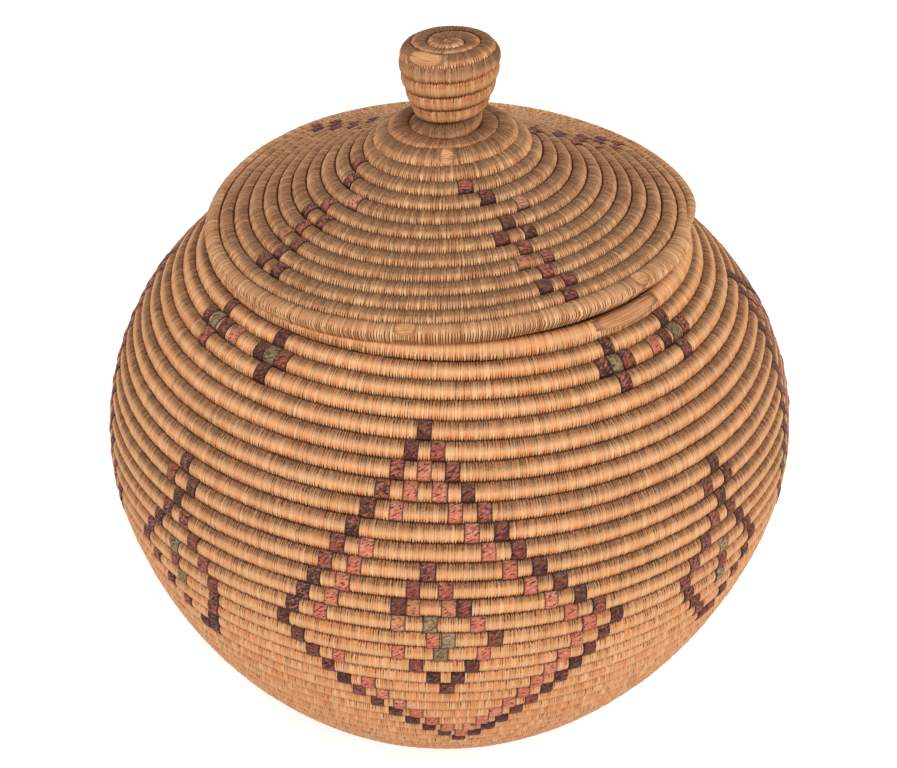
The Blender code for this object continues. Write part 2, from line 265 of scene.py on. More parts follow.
class BasketSizes(bpy.types.PropertyGroup):
    """Sizes of the coils, their stitches and their wraps."""

    body_radius: metres("Body radius", "Radius of the belly over the crests of its rows", 0.1400)
    belly_height: metres("Belly height", "Height of the widest row", 0.1300)
    base_radius: metres("Base radius", "Radius of the flat base", 0.0640)
    mouth_radius: metres("Mouth radius", "Radius of the body's outline at the mouth row", 0.0900)
    mouth_height: metres("Mouth height", "Height of the body's outline at the mouth row", 0.2178)
    foot_power: factor("Foot fullness", "Power of the superellipse below the belly", 1.68)
    shoulder_power: factor("Shoulder fullness", "Power of the superellipse above the belly", 2.05)
    body_pitch: metres("Body row pitch", "Distance from row to row on the body", 0.00684)
    body_wall: metres("Body wall", "Thickness of the body's coil", 0.0066)
    mouth_thickness: metres(
        "Mouth row thickness", "Thickness of the row that finishes the mouth", 0.0076
    )
    mouth_proud: metres(
        "Mouth row rise", "How far the mouth row stands out of the body's outline", 0.0015
    )
    rim_overhang: metres(
        "Lid overhang", "How far the lid's edge row lies outside the mouth outline", 0.0010
    )
    rim_thickness: metres("Lid edge thickness", "Thickness of the lid's edge row", 0.0074)
    rim_proud: metres(
        "Lid edge rise", "How far the lid's edge row stands out of the lid's outline", 0.0006
    )
    edge_slope: angle("Slope at the lid's edge", "Slope of the lid beside its edge row", 15.1)
    neck_slope: angle("Slope at the knob", "Slope of the lid at the knob's foot", 31.5)
    lid_pitch: metres("Lid row pitch", "Distance from row to row on the lid", 0.00619)
    lid_wall: metres("Lid wall", "Thickness of the lid's coil", 0.0064)
    lean: angle("Lean", "How far the body leans to the right as it rises", 0.7)
    lid_tilt: angle("Lid tilt", "Tilt of the lid, which lies lowest at the front left", 2.22)
    tilt_azimuth: angle("Tilt azimuth", "Azimuth of the lowest place of the lid", -51.8)
    lid_warp: metres("Lid warp", "How far the lid's edge waves up and down", 0.0020)
    warp_azimuth: angle(
        "Warp azimuth", "Azimuth of one of the two high places of the warped lid", 30.7
    )
    lid_rise: metres("Lid rise", "How far the whole lid is raised by its uneven seat", 0.0010)
    foot_bulge: metres("Foot bulge", "How far the lower wall bulges at the front", 0.0016)
    rim_shift: metres("Lid edge shift", "How far the lid's edge lies to the right", 0.0002)
    knob_shift: metres("Knob shift", "How far the knob lies to the right", -0.0006)
    knob_height: metres("Knob height", "Height of the knob above its foot", 0.0328)
    knob_radius: metres("Knob radius", "Radius of the knob at its widest row", 0.0184)
    knob_rounding: metres("Knob rounding", "Radius of the knob's upper edge", 0.0066)
    waist_radius: metres("Knob waist radius", "Radius of the knob where it is narrowest", 0.0118)
    waist_height: metres("Knob waist height", "Height of the knob's waist above its foot", 0.0036)
    knob_foot_radius: metres(
        "Knob foot radius", "Radius where the knob becomes the lid's slope", 0.0200
    )
    knob_wall: metres("Knob wall", "Thickness of the knob's coil", 0.0050)
    collar_clearance: metres(
        "Collar clearance", "Gap between the collar under the lid and the mouth row", 0.0018
    )
    collar_wall: metres("Collar wall", "Thickness of the collar's coil", 0.0056)
    collar_pitch: metres("Collar row pitch", "Distance from row to row on the collar", 0.0063)
    stitch_width: metres("Stitch width", "Mean width of one stitch along the coil", 0.00082)
    wrap_length: metres("Wrap length", "Length of one dyed wrap along the coil", 0.0051)
    seed: IntProperty(
        name="Seed",
        description="Seed of the maker's small irregularities",
        default=7,
        min=0,
    )


class BasketColours(bpy.types.PropertyGroup):
    """Colours of the grass and of the dyed wraps, linear."""

    straw: tint("Straw", "Colour of the stitches on the body", (0.81, 0.295, 0.096))
    # This colour also paints the highlight along the crest of the rows
    pale_straw_and_highlight: tint("Pale straw and highlight", "Colour of the lightest stitches and of the painted highlight", (1.0, 0.60, 0.30))
    lid_straw: tint("Lid straw", "Colour of the stitches on the lid", (0.62, 0.243, 0.090))
    knob_straw: tint("Knob straw", "Colour of the stitches on the knob", (0.60, 0.205, 0.067))
    splice: tint("Splice", "Colour of the bare grass at a splice", (0.56, 0.235, 0.090))
    soil: tint("Soil", "Colour of the dust and wear on the upward faces", (0.235, 0.112, 0.050))
    shade: tint("Gaps", "Colour deep between the stitches", (0.066, 0.021, 0.009))
    dark_dye: tint("Dark dye", "Colour of the dark wraps", (0.078, 0.018, 0.012))
    dark_worn: tint(
        "Worn dark dye", "Colour of the dark wraps where they are rubbed", (0.54, 0.122, 0.062)
    )
    pink_worn: tint(
        "Worn pink dye", "Colour of the pink wraps where they are rubbed", (0.92, 0.365, 0.205)
    )
    green_worn: tint(
        "Worn olive dye", "Colour of the olive wraps where they are rubbed", (0.50, 0.335, 0.165)
    )
    # Dust on the wraps' upward faces, which also stands for a painted highlight there
    wrap_dust_and_highlight: tint(
        "Dust and painted highlight on the wraps", "Colour of the dust and painted highlight on the wraps' upper part", (0.225, 0.112, 0.068)
    )
    # Painted shade in the folds and round the edges of the wraps
    wrap_edge_shade: tint("Painted shade at the wraps' edges", "Colour of the painted shade in the folds and beside the wraps", (0.016, 0.006, 0.005))
    red_dye: tint("Red dye", "Colour of the wraps between dark and pink", (0.27, 0.055, 0.042))
    pink_dye: tint("Pink dye", "Colour of the pink wraps", (0.74, 0.182, 0.098))
    green_dye: tint("Green dye", "Colour of the olive wraps", (0.25, 0.165, 0.070))
    orange_dye: tint("Orange dye", "Colour of the orange wraps", (0.68, 0.255, 0.105))
    floor: tint("Floor", "Colour of the floor", (0.80, 0.80, 0.80))


class Profile:
    """A half outline of the basket, read by its length from its start."""

    def __init__(self, radii, heights, side, reach):
        """Side 1 faces right of the way that it runs, -1 left; reach smooths it."""
        self.radii = np.asarray(radii)
        self.heights = np.asarray(heights)
        steps = np.hypot(np.diff(self.radii), np.diff(self.heights))
        self.lengths = np.concatenate(([0.0], np.cumsum(steps)))
        self.side = side
        self.reach = reach

    def point(self, along):
        radius = np.interp(along, self.lengths, self.radii)
        return radius, np.interp(along, self.lengths, self.heights)

    def normal(self, along):
        along = np.maximum(along, 0.0)
        last_radius, last_height = self.point(along + self.reach)
        first_radius, first_height = self.point(along - self.reach)
        run, rise = last_radius - first_radius, last_height - first_height
        size = self.side * np.hypot(run, rise)
        return rise / size, -run / size

    def inside(self, along, depth):
        radius, height = self.point(along)
        out, up = self.normal(along)
        return radius - depth * out, height - depth * up

    def nearest(self, radius, height):
        away = np.hypot(self.radii - radius, self.heights - height)
        return float(self.lengths[int(np.argmin(away))])


def superellipse(radius, height, power, shares):
    """A quarter of a superellipse, from its equator at 0 to its pole at 1."""
    angles = shares * math.pi / 2
    across = radius * np.cos(angles) ** (2 / power)
    return across, height * np.sin(angles) ** (2 / power)


def semi_height(rise, radius, widest, power):
    """Semi-height of the superellipse that has a radius at a rise from its equator."""
    return rise / (1 - (radius / widest) ** power) ** (1 / power)


def body_profile(sizes):
    """Outline of the body: base, foot and belly, shoulder, and on past the mouth."""
    shares = np.linspace(0.0, 1.0, CURVE_POINTS)
    wide, belly = sizes.body_radius, sizes.belly_height
    deep = semi_height(belly, sizes.base_radius, wide, sizes.foot_power)
    rise = sizes.mouth_height - belly
    tall = semi_height(rise, sizes.mouth_radius, wide, sizes.shoulder_power)
    foot_r, foot_z = superellipse(wide, deep, sizes.foot_power, shares[::-1])
    foot = foot_r > sizes.base_radius
    top_r, top_z = superellipse(wide, tall, sizes.shoulder_power, shares[1:])
    top = top_r > sizes.mouth_radius - 2 * sizes.mouth_thickness
    radii = np.concatenate((sizes.base_radius * shares, foot_r[foot], top_r[top]))
    heights = np.concatenate((0.0 * shares, belly - foot_z[foot], belly + top_z[top]))
    return Profile(radii, heights, 1, sizes.body_pitch / 2)


def mouth_places(sizes, profile):
    """Length of the mouth row, centre of it, and length of the wall's upper end."""
    along = profile.nearest(sizes.mouth_radius, sizes.mouth_height)
    centre = profile.inside(along, sizes.mouth_thickness / 2 - sizes.mouth_proud)
    return along, centre, along - sizes.mouth_thickness / 2


def rim_centre(sizes):
    """Centre of the lid's edge row, which rests on the mouth row."""
    mouth = mouth_places(sizes, body_profile(sizes))[1]
    radius = sizes.mouth_radius + sizes.rim_overhang
    reach = (sizes.mouth_thickness + sizes.rim_thickness) / 2
    return radius, mouth[1] + math.sqrt(reach**2 - (radius - mouth[0]) ** 2)


def lid_profile(sizes):
    """Outline of the lid: top and side of the knob, its waist, then the slope."""
    rim_radius, rim_height = rim_centre(sizes)
    level = rim_height + sizes.rim_thickness / 2 - sizes.rim_proud
    edge_slope, neck_slope = math.tan(sizes.edge_slope), math.tan(sizes.neck_slope)
    foot_radius, waist = sizes.knob_foot_radius, sizes.waist_radius
    bend = (neck_slope - edge_slope) / (2 * (rim_radius - foot_radius))
    shares = np.linspace(0.0, 1.0, CURVE_POINTS)
    slope_r = foot_radius + (rim_radius + sizes.rim_thickness - foot_radius) * shares
    inward = rim_radius - slope_r
    slope_z = level + edge_slope * inward + bend * inward**2
    foot = slope_z[0]
    flat = sizes.knob_radius - sizes.knob_rounding
    widest = sizes.knob_height - sizes.knob_rounding
    sine, cosine = np.sin(shares * math.pi / 2), np.cos(shares * math.pi / 2)
    top_r = flat * shares
    top_z = 0.0 * shares + foot + sizes.knob_height
    bend_r = flat + sizes.knob_rounding * sine
    bend_z = foot + widest + sizes.knob_rounding * cosine
    side_r = waist + (sizes.knob_radius - waist) * cosine
    side_z = foot + widest - (widest - sizes.waist_height) * shares
    flare_r = waist + (foot_radius - waist) * (1 - np.sqrt(1 - shares**2))
    flare_z = foot + sizes.waist_height * (1 - shares)
    radii = np.concatenate((top_r, bend_r[1:], side_r[1:], flare_r[1:-1], slope_r))
    heights = np.concatenate((top_z, bend_z[1:], side_z[1:], flare_z[1:-1], slope_z))
    return Profile(radii, heights, -1, sizes.lid_pitch / 2)


def smooth_step(value, low, high):
    share = np.clip((value - low) / (high - low), 0.0, 1.0)
    return share * share * (3 - 2 * share)


def behind(turn):
    """The nearest turn that lies at the back."""
    return round(turn - 0.5) + 0.5


class Coil:
    """A grass bundle wound along a profile, read by its turns.

    Turns are whole at the front. Sense 1 winds to the right with growing turns and
    -1 to the left. Front is the length along the profile at turn zero.
    """

    overlap_share = 1.10
    soil_edge = 0.04

    def __init__(self, sizes, body, profile, pitch, wall, front, sense):
        self.sizes = sizes
        self.body = body
        self.profile = profile
        self.pitch = pitch
        self.wall = wall
        self.front = front
        self.sense = sense

    def turn_at(self, along):
        return (along - self.front) / self.pitch

    def start(self):
        """Turn at which the bundle already covers the middle of the spiral."""
        return self.turn_at(0.0) - 0.5

    def along(self, turns):
        return self.front + self.pitch * turns

    def dustiness(self, turns):
        """Share of the dust that a row keeps."""
        return np.ones_like(turns)

    def half_sizes(self, turns):
        """Half width along the profile, half thickness, and how far it is sunk."""
        even = np.ones_like(turns)
        half = self.wall / 2 * even
        return self.pitch / 2 * self.overlap_share * even, half, half

    def centre(self, turns):
        half_width, half_thickness, depth = self.half_sizes(turns)
        along = self.along(turns)
        radius, height = self.profile.inside(along, depth)
        return radius, height, self.profile.normal(along), half_width, half_thickness

    def radius(self, turns):
        return np.maximum(self.centre(turns)[0], self.pitch / 3)

    def places(self, turns, section, lean, scale):
        """Points round the section at each turn, as radius, azimuth and height."""
        radius, height, (out, up), half_width, half_thickness = self.centre(turns)
        across, outward = section
        side = self.profile.side
        wide = half_width[:, None] * across[None, :] * scale
        deep = half_thickness[:, None] * outward[None, :] * scale
        spot_r = radius[:, None] - wide * up[:, None] * side + deep * out[:, None]
        spot_z = height[:, None] + wide * out[:, None] * side + deep * up[:, None]
        shift = wide * lean / np.maximum(radius, self.pitch)[:, None]
        azimuth = self.sense * FULL_TURN * turns[:, None] + shift
        return np.maximum(spot_r, 0.0), azimuth, spot_z


class BodyCoil(Coil):
    """The body's coil, whose last turn grows into the mouth row and tapers out."""

    growth_turns = (0.10, 0.85)
    taper_turns = (1.30, 1.42)
    taper_share = 0.8
    level_share = 0.35
    mouth_width_share = 1.04
    mouth_clean_share = 0.9

    def __init__(self, sizes):
        profile = body_profile(sizes)
        mouth_along, _, top = mouth_places(sizes, profile)
        front = top - sizes.body_pitch / 2
        super().__init__(
            sizes, "basket", profile, sizes.body_pitch, sizes.body_wall, front, 1
        )
        self.mouth_shift = mouth_along - front - sizes.body_pitch
        self.mouth_half = sizes.mouth_thickness / 2
        self.mouth_depth = self.mouth_half - sizes.mouth_proud

    def row_turn(self, row, degrees):
        """Turn of a wall row counted down from the mouth row, at an azimuth."""
        return degrees / 360 - (row - 1)

    def growth(self, turns):
        return smooth_step(turns, *self.growth_turns)

    def dustiness(self, turns):
        return 1 - self.mouth_clean_share * self.growth(turns)

    def taper(self, turns):
        return 1 - self.taper_share * smooth_step(turns, *self.taper_turns)

    def along(self, turns):
        grown = super().along(turns) + self.mouth_shift * self.growth(turns)
        levelled = self.level_share * self.pitch * np.maximum(turns - 1.0, 0.0)
        return grown - levelled - (1 - self.taper(turns)) * self.mouth_half

    def half_sizes(self, turns):
        half_width, half, depth = super().half_sizes(turns)
        grown, taper = self.growth(turns), self.taper(turns)
        mouth_width = self.mouth_half * self.mouth_width_share
        half_width = half_width + (mouth_width - half_width) * grown
        half = half + (self.mouth_half - half) * grown
        depth = depth + (self.mouth_depth - depth) * grown
        return half_width * taper, half * taper, depth


class LidCoil(Coil):
    """The lid's coil, from the top of the knob to its end at the right of the edge.

    The last turn lies level along the edge. Its end is bound into the edge row, which
    is widest there, and the rows inside make room for it. Turns from the neck say
    where the rows bend out of the knob into the slope.
    """

    soil_edge = -0.10
    end = 1.80
    end_turns = 0.06
    end_sunk_shares = (0.25, 0.45)
    room_share = 0.15
    room_turns = 4.0
    wedge_turns = (0.0, 0.5, 0.775, 0.815)
    wedge_shares = (0.0, 0.10, 0.28, 1.0)
    bend_in_turns = (-2.0, -0.6)
    bend_out_turns = (1.1, 2.1)
    bend_shares = (0.52, 0.20, 0.25)
    wall_turns = (-1.0, 0.5)
    wide_row_share = 0.22
    edge_turns = (0.4, 0.6)
    clean_edge_turns = (0.2, 0.7)
    clean_edge_share = 0.48
    # How far the back of the lid keeps less brown: painted light on that side
    lighter_back_share = 0.80

    def __init__(self, sizes):
        profile = lid_profile(sizes)
        self.edge = profile.nearest(*rim_centre(sizes)) - sizes.rim_thickness / 2
        front = self.edge - sizes.lid_pitch / 2
        super().__init__(
            sizes, "lid", profile, sizes.lid_pitch, sizes.lid_wall, front, -1
        )
        self.neck = self.turn_at(profile.lengths[KNOB_STRETCHES * (CURVE_POINTS - 1)])
        self.rim_depth = sizes.rim_thickness / 2 - sizes.rim_proud

    def dustiness(self, turns):
        # The back of the lid keeps less of the brown, which paints light on that side
        back = (0.5 - 0.5 * np.cos(FULL_TURN * turns)) ** 2
        slope = smooth_step(turns, self.neck, self.neck + 1.0)
        edge = smooth_step(turns, *self.clean_edge_turns)
        clean = 1 - self.clean_edge_share * edge
        return clean * (1 - self.lighter_back_share * back * slope)

    def row_turn(self, row, degrees):
        """Turn of a row counted from the knob's foot, where row 12 is the edge."""
        return row - 11 - degrees / 360

    def spiral_border(self, turns):
        """Inner border of the row at a turn, in pitches outward from the edge row's."""
        room = self.room_share * (1 - smooth_step(-turns, 0.0, self.room_turns))
        return turns - 1 - room * (1 - np.cos(FULL_TURN * turns))

    def borders(self, turns):
        """Inner and outer border of the row at each turn, in pitches."""
        under = np.interp(turns - 1, self.wedge_turns[:3], self.wedge_shares[:3])
        over = np.interp(turns, self.wedge_turns, self.wedge_shares)
        inner = np.where(turns > 1, under, self.spiral_border(turns))
        outer = np.where(turns > 0, over, self.spiral_border(turns + 1))
        sunk = smooth_step(turns, self.end - self.end_turns, self.end)
        return inner - self.end_sunk_shares[0] * sunk, outer - self.end_sunk_shares[1] * sunk

    def along(self, turns):
        inner, outer = self.borders(turns)
        return self.edge + self.pitch * (inner + outer) / 2

    def half_sizes(self, turns):
        inner, outer = self.borders(turns)
        width = outer - inner
        turns_out = turns - self.neck
        wider, thicker, raised = self.bend_shares
        bend = smooth_step(turns_out, *self.bend_in_turns)
        bend = bend * (1 - smooth_step(turns_out, *self.bend_out_turns))
        knob = 1 - smooth_step(turns_out, *self.wall_turns)
        wall = self.wall + (self.sizes.knob_wall - self.wall) * knob
        half = wall / 2 * (1 + self.wide_row_share * np.clip(width - 1, 0.0, 1.0))
        edge = smooth_step(turns, *self.edge_turns)
        depth = half * (1 - raised * bend) + (self.rim_depth - self.wall / 2) * edge
        half_width = self.pitch / 2 * self.overlap_share * width
        return half_width * (1 + wider * bend), half * (1 + thicker * bend), depth


def ring_of(degrees):
    """Degrees round a section, with the first place again at the end."""
    return np.append(np.array(degrees, float), degrees[0] + 360.0)


def section_of(degrees):
    """A unit superellipse: places across the row and outward, at angles from outward."""
    angles = np.radians(ring_of(degrees))
    across, outward = np.sin(angles), np.cos(angles)
    power = 2 / SECTION_POWER
    return (
        np.sign(across) * np.abs(across) ** power,
        np.sign(outward) * np.abs(outward) ** power,
    )


def smooth_noise(rng, places, spacing, amount):
    """Random values that change smoothly along growing places."""
    knots = np.arange(places[0] - spacing, places[-1] + 2 * spacing, spacing)
    return np.interp(places, knots, rng.normal(0.0, amount, len(knots)))


def lengths_along(coil, turns):
    """Length of the coil's centre line at growing turns, from the first of them."""
    radius = coil.radius(turns)
    steps = np.diff(turns) * FULL_TURN * (radius[1:] + radius[:-1]) / 2
    return np.concatenate(([0.0], np.cumsum(steps)))


def stitch_turns(coil, first, last, rng):
    """Turns where the stitches of a stretch of coil begin and end, and its length."""
    fine = np.linspace(first, last, int((last - first) * SAMPLES_PER_TURN) + 8)
    lengths = lengths_along(coil, fine)
    count = max(3, round(lengths[-1] / coil.sizes.stitch_width))
    widths = rng.uniform(*STITCH_SHARES, count)
    borders = np.concatenate(([0.0], np.cumsum(widths)))
    borders *= lengths[-1] / borders[-1]
    return np.interp(borders, lengths, fine), borders


def rolled_mesh(name, spots, across_uv, along_uv, soil):
    """A grid rolled into a closed tube, with its end rings drawn in to points.

    Spots holds the points by ring and by place round the section, whose last place
    repeats the first.
    """
    rings, places = spots.shape[:2]
    grid = bmesh.new()
    bmesh.ops.create_grid(grid, x_segments=places - 1, y_segments=rings - 1, size=1.0)
    mesh = bpy.data.meshes.new(name)
    grid.to_mesh(mesh)
    grid.free()
    flat = np.empty(len(mesh.vertices) * 3, np.float32)
    mesh.vertices.foreach_get("co", flat)
    flat = flat.reshape(-1, 3)
    place = np.rint((flat[:, 0] + 1) / 2 * (places - 1)).astype(np.int64)
    ring = np.rint((flat[:, 1] + 1) / 2 * (rings - 1)).astype(np.int64)
    mesh.vertices.foreach_set("co", spots[ring, place].astype(np.float32).ravel())
    corners = np.empty(len(mesh.loops), np.int32)
    mesh.loops.foreach_get("vertex_index", corners)
    uv = np.stack((along_uv[ring[corners]], across_uv[place[corners]]), -1)
    layer = mesh.uv_layers.new(name="Stitches")
    layer.data.foreach_set("uv", uv.astype(np.float32).ravel())
    dust = mesh.attributes.new("soil", "FLOAT", "POINT")
    dust.data.foreach_set("value", soil[ring, place].astype(np.float32))
    rows = mesh.attributes.new("ring", "INT", "POINT")
    rows.data.foreach_set("value", ring.astype(np.int32))
    border = (place == 0) | (place == places - 1) | (ring == 0) | (ring == rings - 1)
    shell = bmesh.new()
    shell.from_mesh(mesh)
    shell.verts.ensure_lookup_table()
    seam = [shell.verts[int(index)] for index in np.flatnonzero(border)]
    bmesh.ops.remove_doubles(shell, verts=seam, dist=MERGE_DISTANCE)
    shell.to_mesh(mesh)
    shell.free()
    return mesh


def settled(coil, radius, azimuth, height):
    """Points in the frame, from azimuths that run from the front to the right.

    The body leans to the right and bulges at its foot. The lid is tilted and warped a
    little, and its knob is off the middle. The front stays at its height.
    """
    sizes = coil.sizes
    if coil.body == "lid":
        tilt = math.cos(sizes.tilt_azimuth) - np.cos(azimuth - sizes.tilt_azimuth)
        wave = np.cos(2 * (azimuth - sizes.warp_azimuth)) - math.cos(2 * sizes.warp_azimuth)
        warp = sizes.lid_warp * (radius / sizes.mouth_radius) ** 2 * wave
        rise = sizes.lid_rise + math.tan(sizes.lid_tilt) * radius * tilt + warp
        places = (sizes.knob_foot_radius, sizes.mouth_radius)
        shift = np.interp(radius, places, (sizes.knob_shift, sizes.rim_shift))
    else:
        lean = math.tan(sizes.lean)
        share = smooth_step(height, sizes.belly_height, sizes.mouth_height)
        rise = -share * lean * radius * np.sin(azimuth)
        shift = lean * (height - sizes.belly_height)
        band = smooth_step(height, *FOOT_BULGE_HEIGHTS[:2])
        band = band * (1 - smooth_step(height, *FOOT_BULGE_HEIGHTS[2:]))
        facing = (0.5 + 0.5 * np.cos(azimuth - FOOT_BULGE_AZIMUTH)) ** 2
        radius = radius + sizes.foot_bulge * band * facing
    across = radius * np.sin(azimuth) + shift
    return np.stack((across, -radius * np.cos(azimuth), height + rise), -1)


def mark_grooves(mesh):
    """The grooves between the stitches, every second ring, are sharp edges."""
    ring = np.empty(len(mesh.vertices), np.int32)
    mesh.attributes["ring"].data.foreach_get("value", ring)
    ends = np.empty(len(mesh.edges) * 2, np.int32)
    mesh.edges.foreach_get("vertices", ends)
    first, second = ring[ends.reshape(-1, 2)].T
    sharp = (first == second) & (first % 2 == 1)
    mesh.attributes.new("sharp_edge", "BOOLEAN", "EDGE").data.foreach_set("value", sharp)


def soil_of(coil, turns, across, rng):
    """How dusty each point is: the upper part of a row, where the wall faces up."""
    up = coil.profile.normal(coil.along(turns))[1]
    share = smooth_step(up, *DUSTY_SLOPES) * coil.dustiness(turns)
    middle = coil.soil_edge + DUST_DROP * (1 - smooth_step(up, *FLAT_SLOPES))
    edge = middle + smooth_noise(rng, turns, DUST_PATCH_TURNS, DUST_PATCH)
    beyond = across[None, :] - edge[:, None]
    return share[:, None] * smooth_step(beyond, *DUST_FADE)


def add_object(name, mesh, material, body, nodes):
    """A finished piece: its place is in its mesh, and it rides on its body."""
    mesh.attributes.remove(mesh.attributes["ring"])
    mesh.shade_smooth()
    mesh.materials.append(material)
    piece = bpy.data.objects.new(name, mesh)
    bpy.context.scene.collection.objects.link(piece)
    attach(piece, body)
    if nodes:
        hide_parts(*nodes)
    return piece


def in_turn(even, odd):
    """Values of two rows in turn, which begin and end with the first row's."""
    values = np.empty(len(even) + len(odd))
    values[0::2] = even
    values[1::2] = odd
    return values


def sewn_mesh(name, coil, first, last, seed):
    """A closed stretch of sewn coil between two turns, ends drawn in."""
    rng = np.random.default_rng([coil.sizes.seed, seed])
    borders, lengths = stitch_turns(coil, first, last, rng)
    count = len(borders) - 1
    turns = in_turn(borders, (borders[1:] + borders[:-1]) / 2)
    distance = np.interp(turns, borders, lengths)
    degrees = ring_of(COIL_DEGREES)
    crest = rng.normal(0.0, CREST_SPREAD_SHARE, count)
    groove = -GROOVE_SHARE - DEEP_GROOVE_SHARE * rng.random(count + 1) ** 3
    rise = in_turn(groove, crest) + smooth_noise(rng, distance, LUMP_LENGTH, LUMP_SHARE)
    teeth = rng.normal(TOOTH_SHARE, TOOTH_SPREAD_SHARE, count)
    teeth = in_turn(np.full(count + 1, -TOOTH_GAP_SHARE), teeth)
    across = coil.profile.side * degrees / 180
    lower = np.where(across < 0, 1.0, UPPER_TOOTH_SHARE)
    lower = lower * np.abs(np.sin(np.radians(degrees))) ** 4
    scale = 1 + rise[:, None] + teeth[:, None] * lower[None, :]
    leans = np.repeat(rng.normal(0.0, STITCH_LEAN_SPREAD, count + 1), 2)[:-1]
    lean = (STITCH_LEAN + leans)[:, None]
    radius, azimuth, height = coil.places(turns, section_of(COIL_DEGREES), lean, scale)
    spots = settled(coil, radius, azimuth, np.maximum(height, 0.0))
    soil = soil_of(coil, turns, across, rng)
    ends = np.broadcast_to(spots[[0, -1]].mean(1, keepdims=True), spots[:2].shape)
    spots = np.concatenate((ends[:1], spots, ends[1:]))
    soil = np.concatenate((soil[:1], soil, soil[-1:]))
    rings = np.concatenate(([0], np.arange(2 * count + 1), [2 * count]))
    number = seed * STITCH_NUMBER_STEP + rings / 2
    mesh = rolled_mesh(name, spots, across, number, soil)
    mark_grooves(mesh)
    return mesh


def parts_of(coil, first, last):
    """Turns that cut a stretch behind, so that no part has too many stitches."""
    fine = np.linspace(first, last, PART_SAMPLES)
    lengths = lengths_along(coil, fine)
    parts = math.ceil(lengths[-1] / coil.sizes.stitch_width / STITCHES_PER_PIECE)
    cuts = np.interp(np.linspace(0.0, lengths[-1], parts + 1)[1:-1], lengths, fine)
    return [first, *(behind(cut) for cut in cuts), last]


def add_coil(context, name, coil, first, last, look, slot, node, seed):
    """A stretch of coil as one or more pieces, which stand for a node of the frame."""
    cuts = parts_of(coil, first, last)
    for index, (low, high) in enumerate(zip(cuts, cuts[1:])):
        part = name if len(cuts) == 2 else f"{name}_{index + 1}"
        mesh = sewn_mesh(part, coil, low, high, seed + index)
        add_object(part, mesh, straw_material(context, look), coil.body, (node,))


class Graph:
    """Short ways to add and join the nodes of a tree."""

    def __init__(self, tree):
        self.tree = tree

    def add(self, kind, **settings):
        node = self.tree.nodes.new(kind)
        for name, value in settings.items():
            setattr(node, name, value)
        return node

    def feed(self, socket, value):
        if isinstance(value, bpy.types.NodeSocket):
            self.tree.links.new(value, socket)
        else:
            socket.default_value = value

    def fed(self, kind, values, **settings):
        """A new node whose first inputs, or those named, are fed some values."""
        node = self.add(kind, **settings)
        if isinstance(values, dict):
            pairs = [(node.inputs[label], value) for label, value in values.items()]
        else:
            pairs = zip(node.inputs, values)
        for socket, value in pairs:
            self.feed(socket, value)
        return node

    def sum(self, operation, *values, clamp=False):
        node = self.fed("ShaderNodeMath", values, operation=operation, use_clamp=clamp)
        return node.outputs[0]

    def chained(self, operation, value, others):
        for other in others:
            value = self.sum(operation, value, other)
        return value

    def plus(self, value, *others):
        return self.chained("ADD", value, others)

    def minus(self, value, other):
        return self.sum("SUBTRACT", value, other)

    def times(self, value, *others):
        return self.chained("MULTIPLY", value, others)

    def most(self, value, *others):
        return self.chained("MAXIMUM", value, others)

    def between(self, value, low, high, start=0.0, end=1.0):
        values = (value, low, high, start, end)
        node = self.fed("ShaderNodeMapRange", values, interpolation_type="SMOOTHSTEP")
        return node.outputs[0]

    def mix(self, share, first, second):
        node = self.add("ShaderNodeMix", data_type="RGBA")
        for index, value in ((0, share), (6, first), (7, second)):
            self.feed(node.inputs[index], value)
        return node.outputs[2]

    def noise(self, vector, scale, detail=2.0, roughness=0.5):
        values = {"Vector": vector, "Scale": scale, "Detail": detail, "Roughness": roughness}
        return self.fed("ShaderNodeTexNoise", values).outputs[0]

    def vector(self, x, y, z):
        return self.fed("ShaderNodeCombineXYZ", (x, y, z)).outputs[0]

    def random(self, value):
        node = self.fed("ShaderNodeTexWhiteNoise", {"W": value}, noise_dimensions="1D")
        return node.outputs["Value"]

    def from_middle(self, value):
        """Distance from the middle of each whole step, 1 at its borders."""
        away = self.minus(self.sum("FRACT", value), 0.5)
        return self.times(self.sum("ABSOLUTE", away), 2.0)

    def stitch_places(self):
        """Count of stitches along the coil, and place across it, -1 to 1, up positive."""
        uv = self.add("ShaderNodeUVMap", uv_map="Stitches").outputs[0]
        parts = self.fed("ShaderNodeSeparateXYZ", (uv,))
        return parts.outputs[0], parts.outputs[1]

    def dust(self):
        return self.add("ShaderNodeAttribute", attribute_name="soil").outputs["Fac"]

    def low_share(self):
        """1 on the lower wall, 0 from the belly up."""
        place = self.add("ShaderNodeTexCoord").outputs["Object"]
        height = self.fed("ShaderNodeSeparateXYZ", (place,)).outputs[2]
        return self.between(height, *PLAIN_HEIGHTS)


def effect_group(name, build, values):
    """The node group of an effect, with a socket for each value, made once."""
    if name in bpy.data.node_groups:
        return bpy.data.node_groups[name]
    group = bpy.data.node_groups.new(name, "ShaderNodeTree")
    for label, value in values.items():
        kind = "NodeSocketFloat" if isinstance(value, float) else "NodeSocketColor"
        group.interface.new_socket(label, in_out="INPUT", socket_type=kind)
    group.interface.new_socket("Colour", in_out="OUTPUT", socket_type="NodeSocketColor")
    for label in ("Roughness", "Height"):
        group.interface.new_socket(label, in_out="OUTPUT", socket_type="NodeSocketFloat")
    graph = Graph(group)
    start = graph.add("NodeGroupInput")
    end = graph.add("NodeGroupOutput")
    build(graph, start.outputs, end.inputs)
    return group


